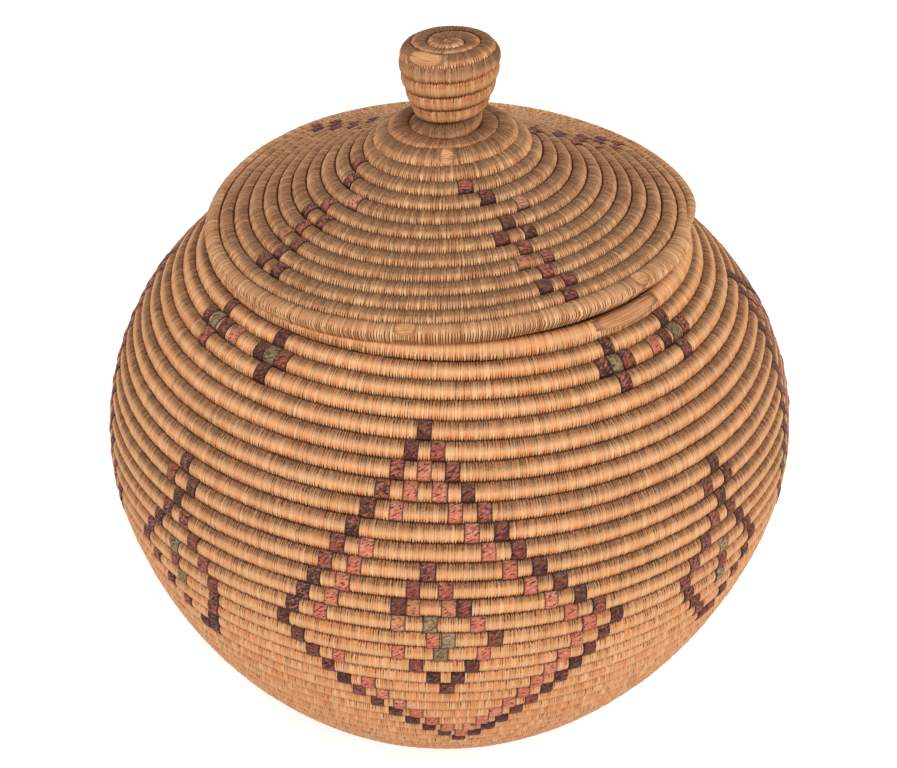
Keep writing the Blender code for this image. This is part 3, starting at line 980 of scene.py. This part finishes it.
def sewn_straw(graph, given, result):
    """Stitches of split grass: tone by stitch, fibres, dust, pale tips, painted shade in gaps,
    holes and seams, and a painted highlight on the crest.
    """
    plus, times, between = graph.plus, graph.times, graph.between
    along, across = graph.stitch_places()
    stitch = graph.sum("FLOOR", along)
    border = graph.sum("FLOOR", plus(along, 0.5))
    tone = graph.random(stitch)
    hue = graph.random(plus(stitch, 0.37))
    gap_tone = graph.random(plus(border, 0.71))
    hole_tone = graph.random(plus(border, 0.13))
    from_crest = graph.from_middle(along)

    def grain(along_scale, across_scale, level, detail=2.0):
        spot = graph.vector(times(along, along_scale), times(across, across_scale), level)
        return graph.noise(spot, 1.0, detail, 0.6)

    fibres = grain(2.6, 1.8, 0.0, 3.0)
    clusters = grain(0.24, 1.4, 5.0)
    reaches = grain(0.03, 1.0, 3.0)
    specks = grain(1.4, 15.0, 7.0)
    breaks = grain(0.9, 6.0, 11.0)
    soil = graph.dust()
    low = graph.low_share()
    # Below the belly the painted highlight and the painted shade in the seams grow weaker
    plain = plus(times(low, -0.5), 1.0)

    # Tone of each stitch, brown stretches, the painted highlight along the crest, and pale stitch
    # tips at the lower edge
    light = plus(times(tone, 0.36), times(fibres, 0.62), times(clusters, 0.24))
    pale = times(between(light, 0.42, 0.94), given["Pale share"])
    straw = graph.mix(pale, given["Straw"], given["Pale"])
    browner = plus(times(hue, 0.40), times(clusters, 0.35), times(reaches, 0.45))
    brown = graph.mix(0.60, given["Straw"], given["Soil"])
    straw = graph.mix(times(between(browner, 0.56, 1.0), 0.70), straw, brown)
    crest = times(between(across, -0.22, -0.05), between(across, 0.16, 0.03))
    highlight_and_tips = times(crest, between(fibres, 0.25, 0.70), given["Painted highlight share"], plain)
    tips = times(between(across, -0.17, -0.28), between(from_crest, 0.80, 0.30), tone)
    # The painted highlight and the pale tips both mix in the pale colour
    highlight_and_tips = graph.most(highlight_and_tips, times(tips, given["Pale share"], 0.95))
    straw = graph.mix(highlight_and_tips, straw, given["Pale"])

    # Dust on the upper part of the rows, and flecks low on the wall
    blotchy = between(plus(times(specks, 0.5), times(fibres, 0.6)), 0.36, 0.72)
    dusty = times(soil, plus(times(blotchy, 0.60), 0.45), given["Soil share"])
    streaky = plus(times(reaches, 0.4), times(hue, 0.42), 0.60)
    dusty = graph.sum("MULTIPLY", dusty, streaky, clamp=True)
    straw = graph.mix(dusty, straw, given["Soil"])
    flecks = between(plus(times(specks, 0.6), times(breaks, 0.4)), 0.54, 0.70)
    straw = graph.mix(times(flecks, low, 0.65), straw, given["Soil"])

    # Painted shade in the gaps between the stitches, weak at mid-row and deeper where dusty, and
    # in the holes and seams between the rows
    strong = between(plus(gap_tone, times(soil, 0.25)), 0.38, 1.0)
    narrow = plus(times(strong, -0.28), 0.84)
    line = between(graph.minus(from_crest, narrow), 0.0, 0.14)
    broken = plus(times(between(breaks, 0.36, 0.56), 0.60), 0.40)
    calm = times(between(across, -0.22, -0.10), between(across, 0.14, 0.02), -0.62)
    gap = plus(times(strong, 0.72), times(soil, 0.25), 0.28)
    gap = times(line, broken, gap, plus(calm, 1.0), given["Gap share"])
    ragged = plus(across, times(graph.minus(tone, 0.5), 0.03))
    upper = between(plus(ragged, given["Seam width"]), 0.310, 0.370)
    holes = times(between(ragged, 0.215, 0.285), between(from_crest, 0.20, 0.60))
    holes = times(holes, between(hole_tone, 0.25, 0.45))
    slot_reach = plus(ragged, times(hole_tone, -0.07))
    slots = times(between(slot_reach, -0.235, -0.320), between(from_crest, 0.40, 0.85))
    seams = graph.most(times(upper, 0.93), times(holes, 0.92), times(slots, 0.95))
    dark = graph.most(gap, times(seams, plain))

    graph.feed(result["Colour"], graph.mix(dark, straw, given["Gap"]))
    rough = plus(times(dusty, 0.25), times(fibres, 0.25), 0.36)
    graph.feed(result["Roughness"], rough)
    graph.feed(result["Height"], graph.minus(times(fibres, 0.8), line))


def wrinkled_skin(graph, given, result):
    """Dyed skin shrunk on a row: slanting wrinkles, worn patches, dust with a painted highlight,
    painted glints, and painted shade in folds and at edges.
    """
    plus, times, between = graph.plus, graph.times, graph.between
    along, across = graph.stitch_places()
    wrap = graph.sum("FLOOR", along)
    tone = graph.random(wrap)
    mood = graph.random(plus(wrap, 0.43))
    soil = graph.dust()

    # A net of wrinkles that slants over the row, and long strokes across it
    slant = plus(times(along, 3.2), times(across, 3.5))
    spot = graph.vector(slant, plus(times(across, 9.0), times(along, -1.2)), wrap)
    warp = graph.fed("ShaderNodeTexNoise", {"Vector": spot, "Scale": 1.3}).outputs[1]
    bent = graph.fed("ShaderNodeVectorMath", (spot, warp), operation="ADD").outputs[0]
    net = graph.fed(
        "ShaderNodeTexVoronoi", {"Vector": bent, "Scale": 1.0}, feature="DISTANCE_TO_EDGE"
    )
    lines = between(net.outputs["Distance"], 0.16, 0.02)
    clouds = graph.noise(spot, 0.7, 4.0, 0.65)
    fine = graph.noise(spot, 3.0, 2.0, 0.6)
    stroke_slant = plus(times(along, 2.2), times(across, 5.0))
    stroke_row = plus(times(across, 15.0), times(along, -3.4))
    strokes = graph.noise(graph.vector(stroke_slant, stroke_row, wrap), 1.0, 2.0, 0.6)

    # Wear, dust with a painted highlight on the upward faces, and painted glints in slanting
    # strokes, weaker on the lower wall
    patches = between(plus(clouds, times(tone, 0.20)), 0.52, 0.68)
    worn = times(patches, plus(times(mood, 0.8), 0.2), given["Worn share"])
    dyed = graph.mix(worn, given["Dye"], given["Worn"])
    # Dust on the upward faces, which is also a painted highlight there
    flecked = plus(times(between(fine, 0.34, 0.62), 0.9), 0.25)
    dusty = graph.sum("MULTIPLY", times(soil, flecked), given["Soil share"], clamp=True)
    dyed = graph.mix(dusty, dyed, given["Soil"])
    # Colour of the painted glints: the worn colour tinted pale
    glint_colour = graph.mix(0.30, given["Worn"], GLINT_TINT)
    glints = between(plus(strokes, times(lines, 0.10)), 0.57, 0.69)
    lit = plus(times(graph.low_share(), -0.7), 1.0)
    glints = times(glints, plus(times(mood, 0.45), 0.22), lit)
    dyed = graph.mix(glints, dyed, glint_colour)

    # Painted shade in the folds, at the sides and the upper edge, and over a broad band at the
    # lower edge
    folds = times(between(strokes, 0.47, 0.36), 0.85)
    side = between(graph.from_middle(along), 0.66, 0.97)
    upper = between(across, 0.26, 0.34)
    lower = between(across, -0.15, -0.33)
    dark = graph.most(times(graph.most(side, upper, lower), 0.92), folds)
    graph.feed(result["Colour"], graph.mix(dark, dyed, given["Gap"]))
    graph.feed(result["Roughness"], plus(times(clouds, 0.35), 0.32))
    graph.feed(result["Height"], plus(times(clouds, 0.7), times(lines, 0.5)))


def smooth_fibres(graph, given, result):
    """Bare grass at a splice, whose fibres lie along the row."""
    plus, times, between = graph.plus, graph.times, graph.between
    along, across = graph.stitch_places()
    fibres = graph.vector(times(along, 1.5), times(across, 26.0), 0.0)
    fibres = graph.noise(fibres, 1.0, 4.0, 0.7)
    patches = graph.vector(times(along, 2.0), times(across, 3.0), 4.0)
    patches = graph.noise(patches, 1.0, 2.0, 0.5)
    pale = times(between(plus(times(fibres, 0.7), times(patches, 0.3)), 0.38, 0.66), 0.60)
    straw = graph.mix(pale, given["Straw"], given["Pale"])
    # Painted shade round the edge of the patch, where it meets the stitches, and in the cracks
    # between fibres
    middle = graph.from_middle(along)
    side = times(across, 180 / SPLICE_HALF_DEGREES)
    away = graph.sum("SQRT", plus(times(middle, middle), times(side, side)))
    ragged = plus(away, times(patches, 0.3), -0.15)
    cracks = times(between(fibres, 0.46, 0.34), 0.7)
    dark = graph.most(times(between(ragged, 0.66, 0.86), 0.6), cracks)
    graph.feed(result["Colour"], graph.mix(dark, straw, given["Gap"]))
    graph.feed(result["Roughness"], plus(times(fibres, 0.3), 0.32))
    graph.feed(result["Height"], fibres)


def finish_material(name, effect_name, build, values, bump):
    """A material around one group, which feeds its colour, roughness and bump."""
    if name in bpy.data.materials:
        return bpy.data.materials[name]
    material = bpy.data.materials.new(name)
    material.use_nodes = True
    graph = Graph(material.node_tree)
    shader = material.node_tree.nodes["Principled BSDF"]
    group = effect_group(effect_name, build, values)
    effect = graph.add("ShaderNodeGroup", node_tree=group)
    for label, value in values.items():
        socket = effect.inputs[label]
        socket.default_value = (*value, 1.0) if socket.type == "RGBA" else value
    graph.feed(shader.inputs["Base Color"], effect.outputs["Colour"])
    graph.feed(shader.inputs["Roughness"], effect.outputs["Roughness"])
    shader.inputs["Specular IOR Level"].default_value = 0.3
    strength, distance = bump
    height = effect.outputs["Height"]
    values = {"Strength": strength, "Distance": distance, "Height": height}
    relief = graph.fed("ShaderNodeBump", values)
    graph.feed(shader.inputs["Normal"], relief.outputs["Normal"])
    return material


def straw_material(context, name):
    colours = context.scene.basket_colours
    straw, soil, gap, pale, highlight_and_tips, seam_width = STRAW_LOOKS[name]
    values = {
        "Straw": getattr(colours, straw),
        "Pale": colours.pale_straw_and_highlight,
        "Soil": colours.soil,
        "Gap": colours.shade,
        "Soil share": soil,
        "Gap share": gap,
        "Pale share": pale,
        "Painted highlight share": highlight_and_tips,
        "Seam width": seam_width,
    }
    return finish_material(name, "Sewn straw", sewn_straw, values, STRAW_BUMP)


def splice_material(context):
    colours = context.scene.basket_colours
    values = {"Straw": colours.splice, "Pale": colours.pale_straw_and_highlight, "Gap": colours.shade}
    return finish_material(
        "splice_fibres", "Smooth fibres", smooth_fibres, values, FIBRE_BUMP
    )


def wrap_material(context, name, dye, worn, worn_share, soil_share):
    colours = context.scene.basket_colours
    values = {
        "Dye": getattr(colours, dye),
        "Worn": getattr(colours, worn),
        "Soil": colours.wrap_dust_and_highlight,
        "Gap": colours.wrap_edge_shade,
        "Worn share": worn_share,
        "Soil share": soil_share,
    }
    return finish_material(name, "Wrinkled skin", wrinkled_skin, values, SKIN_BUMP)


def patch_mesh(name, coil, turn, length, degrees, shares, scale, uv, rng):
    """A closed patch round one row, with UV as its first number and its end gap."""
    step = length / (FULL_TURN * float(coil.radius(np.array([turn]))[0]))
    turns = turn + shares * step
    radius, azimuth, height = coil.places(turns, section_of(degrees), PATCH_LEAN, scale)
    spots = settled(coil, radius, azimuth, height)
    spots[[0, -1]] = spots[[0, -1]].mean(1, keepdims=True)
    across = coil.profile.side * ring_of(degrees) / 180
    number, gap = uv
    number = number + gap + (shares + 0.5) * (1 - 2 * gap)
    return rolled_mesh(name, spots, across, number, soil_of(coil, turns, across, rng))


def wrap_mesh(coil, turn, length, number, rng):
    """One raised, creased wrap round a row."""
    places = len(WRAP_DEGREES) + 1
    creases = rng.normal(0.0, CREASE_SHARE, (len(WRAP_SHARES), places))
    creases[:, -1] = creases[:, 0]
    creases[[0, 1, -2, -1]] = 0.0
    lift = rng.uniform(*WRAP_LIFT_SHARES)
    scale = 1 + np.array(WRAP_RISE_SHARES)[:, None] + lift + creases
    shares = np.array(WRAP_SHARES)
    uv = (number, 0.001)
    return patch_mesh("wrap", coil, turn, length, WRAP_DEGREES, shares, scale, uv, rng)


def splice_mesh(coil, turn, length, number, rng):
    """One bare patch, a lens that rises out of the stitches of a row."""
    degrees = ring_of(SPLICE_DEGREES)
    shares = np.linspace(-0.5, 0.5, SPLICE_POINTS)
    strands = rng.normal(0.0, STRAND_SHARE, len(degrees))
    strands[-1] = strands[0]
    lens = 1 - (degrees[None, :] / SPLICE_HALF_DEGREES) ** 2 - (2 * shares[:, None]) ** 2
    scale = LENS_FOOT_SHARE + LENS_RISE_SHARE * np.maximum(lens, -1.0) + strands
    uv = (number * SPLICE_NUMBER_STEP, 0.01)
    return patch_mesh("splice", coil, turn, length, SPLICE_DEGREES, shares, scale, uv, rng)


def joined_mesh(name, meshes):
    """Several meshes in one."""
    whole = bmesh.new()
    for mesh in meshes:
        whole.from_mesh(mesh)
        bpy.data.meshes.remove(mesh)
    joined = bpy.data.meshes.new(name)
    whole.to_mesh(joined)
    whole.free()
    return joined


def add_wraps(context, prefix, coil, motifs, seed):
    """The wraps of a coil, one piece for each dye."""
    rng = np.random.default_rng([coil.sizes.seed, seed])
    for dye, (*look, slot) in DYES.items():
        material = wrap_material(context, *look)
        meshes = []
        for row, degrees, colour in motifs:
            if colour != dye:
                continue
            length = coil.sizes.wrap_length * rng.uniform(*WRAP_LENGTH_SHARES)
            turn = coil.row_turn(row, degrees)
            meshes.append(wrap_mesh(coil, turn, length, len(meshes), rng))
        if not meshes:
            continue
        name = f"{prefix}_{material.name}s"
        add_object(name, joined_mesh(name, meshes), material, coil.body, ())


def add_splices(context, name, coil, places):
    """Smooth low patches over a row, as one piece."""
    rng = np.random.default_rng([coil.sizes.seed, SEEDS["splices"]])
    meshes = []
    for turn, length in places:
        meshes.append(splice_mesh(coil, turn, length, len(meshes), rng))
    mesh = joined_mesh(name, meshes)
    add_object(name, mesh, splice_material(context), coil.body, ())


def diamond_motif():
    """A large stepped diamond with its pink line and the small diamond in it."""
    motif = list(INNER_MOTIF)
    for row in range(EDGE_ROWS[0], EDGE_ROWS[-1] + 1):
        left = float(np.interp(row, EDGE_ROWS, LEFT_EDGE_DEGREES))
        right = float(np.interp(row, EDGE_ROWS, RIGHT_EDGE_DEGREES))
        motif.append((row, left, "D"))
        if right - left > SPLIT_DEGREES:
            motif.append((row, right, "D"))
        inset = PINK_INSET_DEGREES - PINK_INSET_STEP * max(row - WIDEST_ROW, 0)
        one, two = (share * inset for share in PINK_ROOM_SHARES)
        if right - left > one and row not in ROWS_WITHOUT_LEFT_PINK:
            motif.append((row, left + inset, "P"))
        if right - left > two:
            motif.append((row, right - inset, "P"))
    return motif


def drifted(motif, row, degrees):
    """A motif that slides by some degrees with each row below a row."""
    return [(low, place + degrees * max(low - row, 0), dye) for low, place, dye in motif]


def turned(motif, degrees):
    return [(row, place + degrees, dye) for row, place, dye in motif]


class BASKET_OT_body(bpy.types.Operator):
    """Add the base and wall of the basket as sewn coil"""

    bl_idname = "basket.body"
    bl_label = "Body coil"

    def execute(self, context):
        sizes = context.scene.basket_sizes
        coil = BodyCoil(sizes)
        profile = coil.profile
        wall = np.where(profile.radii > sizes.base_radius)[0]
        look, slot = "body_stitches", "body_straw"
        low = behind(coil.turn_at(sizes.base_radius))
        add_coil(
            context, "base_rows", coil, coil.start(), low,
            "base_stitches", "base_straw", "base_coil", SEEDS["base"],
        )
        for number, node in enumerate(WALL_NODES):
            name = node.replace("_coil", "_rows")
            high = 0.5
            if node != WALL_NODES[-1]:
                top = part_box(node)[1].z
                along = np.interp(top, profile.heights[wall], profile.lengths[wall])
                high = behind(coil.turn_at(along))
            seed = SEEDS["wall"] + SEED_STEP * number
            add_coil(context, name, coil, low, high, look, slot, node, seed)
            low = high
        end = coil.taper_turns[1]
        seed = SEEDS["mouth"]
        add_coil(context, "mouth_row", coil, low, end, look, slot, "mouth_coil", seed)
        return {"FINISHED"}


class BASKET_OT_body_wraps(bpy.types.Operator):
    """Add the dyed wraps of the diamonds and crosses on the body"""

    bl_idname = "basket.body_wraps"
    bl_label = "Body wraps"

    def execute(self, context):
        motifs = []
        mirrored = [(row, -place, dye) for row, place, dye in SHOULDER_MOTIF]
        for quarter in range(4):
            drift = DIAMOND_DRIFT_DEGREES if quarter == 1 else 0.0
            small = drifted(SMALL_MOTIF, WIDEST_ROW, drift)
            motifs += turned(diamond_motif(), 90 * quarter - 90)
            motifs += turned(small, 90 * quarter - 135)
        for place, motif in zip(CROSS_DEGREES, (mirrored, SHOULDER_MOTIF) * 2):
            motifs += turned(motif, place)
        coil = BodyCoil(context.scene.basket_sizes)
        add_wraps(context, "body", coil, motifs, SEEDS["body_wraps"])
        return {"FINISHED"}


class BASKET_OT_lid(bpy.types.Operator):
    """Add the hollow knob, the slope and the edge row of the lid as sewn coil"""

    bl_idname = "basket.lid"
    bl_label = "Lid coil"

    def execute(self, context):
        sizes = context.scene.basket_sizes
        coil = LidCoil(sizes)
        top_end = behind(coil.turn_at(sizes.knob_radius * KNOB_TOP_SHARE))
        neck = behind(coil.neck)
        runs = (
            ("knob_top_rows", coil.start(), top_end, "knob_stitches", "knob_top_coil"),
            ("knob_rows", top_end, neck, "knob_stitches", "knob_coil"),
            ("lid_rows", neck, 0.5, "lid_stitches", "lid_coil"),
            ("lid_edge_row", 0.5, coil.end, "lid_stitches", "lid_rim_coil"),
        )
        for number, (name, low, high, look, node) in enumerate(runs):
            seed = SEEDS["lid"] + SEED_STEP * number
            add_coil(context, name, coil, low, high, look, "lid_straw", node, seed)
        return {"FINISHED"}


class BASKET_OT_lid_wraps(bpy.types.Operator):
    """Add the dyed wraps of the crosses on the lid"""

    bl_idname = "basket.lid_wraps"
    bl_label = "Lid wraps"

    def execute(self, context):
        motifs = []
        for place in LID_ARM_DEGREES:
            motifs += turned(LID_MOTIF, place)
        short = [mark for mark in LID_MOTIF if mark[0] <= SHORT_ARM_ROWS]
        short = drifted(short, SHORT_ARM_DRIFT_ROW, SHORT_ARM_DRIFT_DEGREES)
        motifs += turned(short, SHORT_ARM_DEGREES)
        coil = LidCoil(context.scene.basket_sizes)
        add_wraps(context, "lid", coil, motifs, SEEDS["lid_wraps"])
        return {"FINISHED"}


class BASKET_OT_splices(bpy.types.Operator):
    """Add the bare places where a new bundle or strand of grass begins"""

    bl_idname = "basket.splices"
    bl_label = "Splices"

    def execute(self, context):
        sizes = context.scene.basket_sizes
        coil = BodyCoil(sizes)
        places = [(1 + degrees / 360, length) for degrees, length in BODY_SPLICES]
        add_splices(context, "body_splices", coil, places)
        coil = LidCoil(sizes)
        places = [(coil.row_turn(*place), length) for *place, length in LID_SPLICES]
        add_splices(context, "lid_splices", coil, places)
        return {"FINISHED"}


class BASKET_OT_collar(bpy.types.Operator):
    """Add the collar under the lid that keeps it in the mouth"""

    bl_idname = "basket.collar"
    bl_label = "Lid collar"

    def execute(self, context):
        sizes = context.scene.basket_sizes
        mouth = mouth_places(sizes, body_profile(sizes))[1]
        radius = mouth[0] - sizes.mouth_thickness / 2 - sizes.collar_clearance
        low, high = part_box("lid_flange_coil")
        drop, pitch = high.z - low.z, sizes.collar_pitch
        shares = np.linspace(0.0, 1.0, 50)
        profile = Profile(radius + 0.0 * shares, high.z - drop * shares, -1, pitch / 2)
        coil = Coil(sizes, "lid", profile, pitch, sizes.collar_wall, drop - pitch, -1)
        add_coil(
            context, "lid_collar_rows", coil, *COLLAR_TURNS,
            "lid_stitches", "lid_straw", "lid_flange_coil", SEEDS["collar"],
        )
        return {"FINISHED"}


class BASKET_OT_stage(bpy.types.Operator):
    """Add the floor, the lights and the camera"""

    bl_idname = "basket.stage"
    bl_label = "Floor, lights and camera"

    def execute(self, context):
        add_floor(context)
        add_lights(context)
        add_camera(context)
        return {"FINISHED"}


def add_floor(context):
    grid = bmesh.new()
    bmesh.ops.create_grid(grid, x_segments=1, y_segments=1, size=FLOOR_SIZE)
    mesh = bpy.data.meshes.new("floor")
    grid.to_mesh(mesh)
    grid.free()
    material = bpy.data.materials.new("floor")
    material.use_nodes = True
    graph = Graph(material.node_tree)
    shader = material.node_tree.nodes["Principled BSDF"]
    shader.inputs["Base Color"].default_value = (*context.scene.basket_colours.floor, 1.0)
    shader.inputs["Roughness"].default_value = 0.9
    shader.inputs["Specular IOR Level"].default_value = 0.1
    seen = graph.add("ShaderNodeLightPath").outputs["Is Camera Ray"]
    shader.inputs["Emission Color"].default_value = WHITE
    graph.feed(shader.inputs["Emission Strength"], graph.times(seen, FLOOR_GLOW))
    mesh.materials.append(material)
    floor = bpy.data.objects.new("floor", mesh)
    context.scene.collection.objects.link(floor)


def add_lights(context):
    """A broad soft light above the front right, a weaker one at the left, and sky."""
    for name, place, size, energy in LIGHTS:
        light = bpy.data.lights.new(name, "AREA")
        light.size = size
        light.energy = energy
        lamp = bpy.data.objects.new(name, light)
        lamp.location = place
        lamp.rotation_mode = "QUATERNION"
        way = LIGHT_TARGET - lamp.location
        lamp.rotation_quaternion = way.to_track_quat("-Z", "Y")
        context.scene.collection.objects.link(lamp)
    world = bpy.data.worlds.new("studio")
    world.use_nodes = True
    graph = Graph(world.node_tree)
    background = world.node_tree.nodes["Background"]
    background.inputs["Color"].default_value = WHITE
    seen = graph.add("ShaderNodeLightPath").outputs["Is Camera Ray"]
    strength = graph.between(seen, 0.0, 1.0, SKY_STRENGTH, 1.0)
    graph.feed(background.inputs["Strength"], strength)
    context.scene.world = world
    context.scene.view_settings.view_transform = "Standard"


def add_camera(context):
    """The view of the photograph: from in front and well above."""
    camera = bpy.data.cameras.new("camera")
    camera.sensor_width = SENSOR_WIDTH
    camera.lens = FOCAL_PIXELS / IMAGE_WIDTH * camera.sensor_width
    camera.shift_x = SHIFT_PIXELS / IMAGE_WIDTH
    viewer = bpy.data.objects.new("camera", camera)
    aim = context.scene.basket_sizes.belly_height + VIEW_RISE
    pose = Matrix.Translation((0.0, 0.0, aim))
    pose = pose @ Matrix.Rotation(math.pi / 2 - VIEW_ELEVATION, 4, "X")
    pose = pose @ Matrix.Translation((0.0, 0.0, VIEW_DISTANCE))
    viewer.matrix_world = pose @ Matrix.Rotation(VIEW_ROLL, 4, "Z")
    context.scene.collection.objects.link(viewer)
    context.scene.camera = viewer


class BASKET_PT_panel(bpy.types.Panel):
    """Sidebar panel that lists the basket's pieces and settings"""

    bl_idname = "BASKET_PT_panel"
    bl_label = "Lidded basket"
    bl_space_type = "VIEW_3D"
    bl_region_type = "UI"
    bl_category = "Basket"

    def draw(self, context):
        layout = self.layout
        for operator in OPERATORS:
            layout.operator(operator.bl_idname, text=operator.bl_label)
        for settings in (context.scene.basket_sizes, context.scene.basket_colours):
            box = layout.box()
            for name in settings.__annotations__:
                box.prop(settings, name)


OPERATORS = (
    BASKET_OT_body,
    BASKET_OT_body_wraps,
    BASKET_OT_lid,
    BASKET_OT_lid_wraps,
    BASKET_OT_splices,
    BASKET_OT_collar,
    BASKET_OT_stage,
)
CLASSES = (BasketSizes, BasketColours, *OPERATORS, BASKET_PT_panel)


def register():
    for item in CLASSES:
        bpy.utils.register_class(item)
    bpy.types.Scene.basket_sizes = PointerProperty(type=BasketSizes)
    bpy.types.Scene.basket_colours = PointerProperty(type=BasketColours)


def unregister():
    del bpy.types.Scene.basket_colours
    del bpy.types.Scene.basket_sizes
    for item in reversed(CLASSES):
        bpy.utils.unregister_class(item)


def main():
    register()
    for operator in OPERATORS:
        group, name = operator.bl_idname.split(".")
        getattr(getattr(bpy.ops, group), name)()


if __name__ == "__main__":
    main()
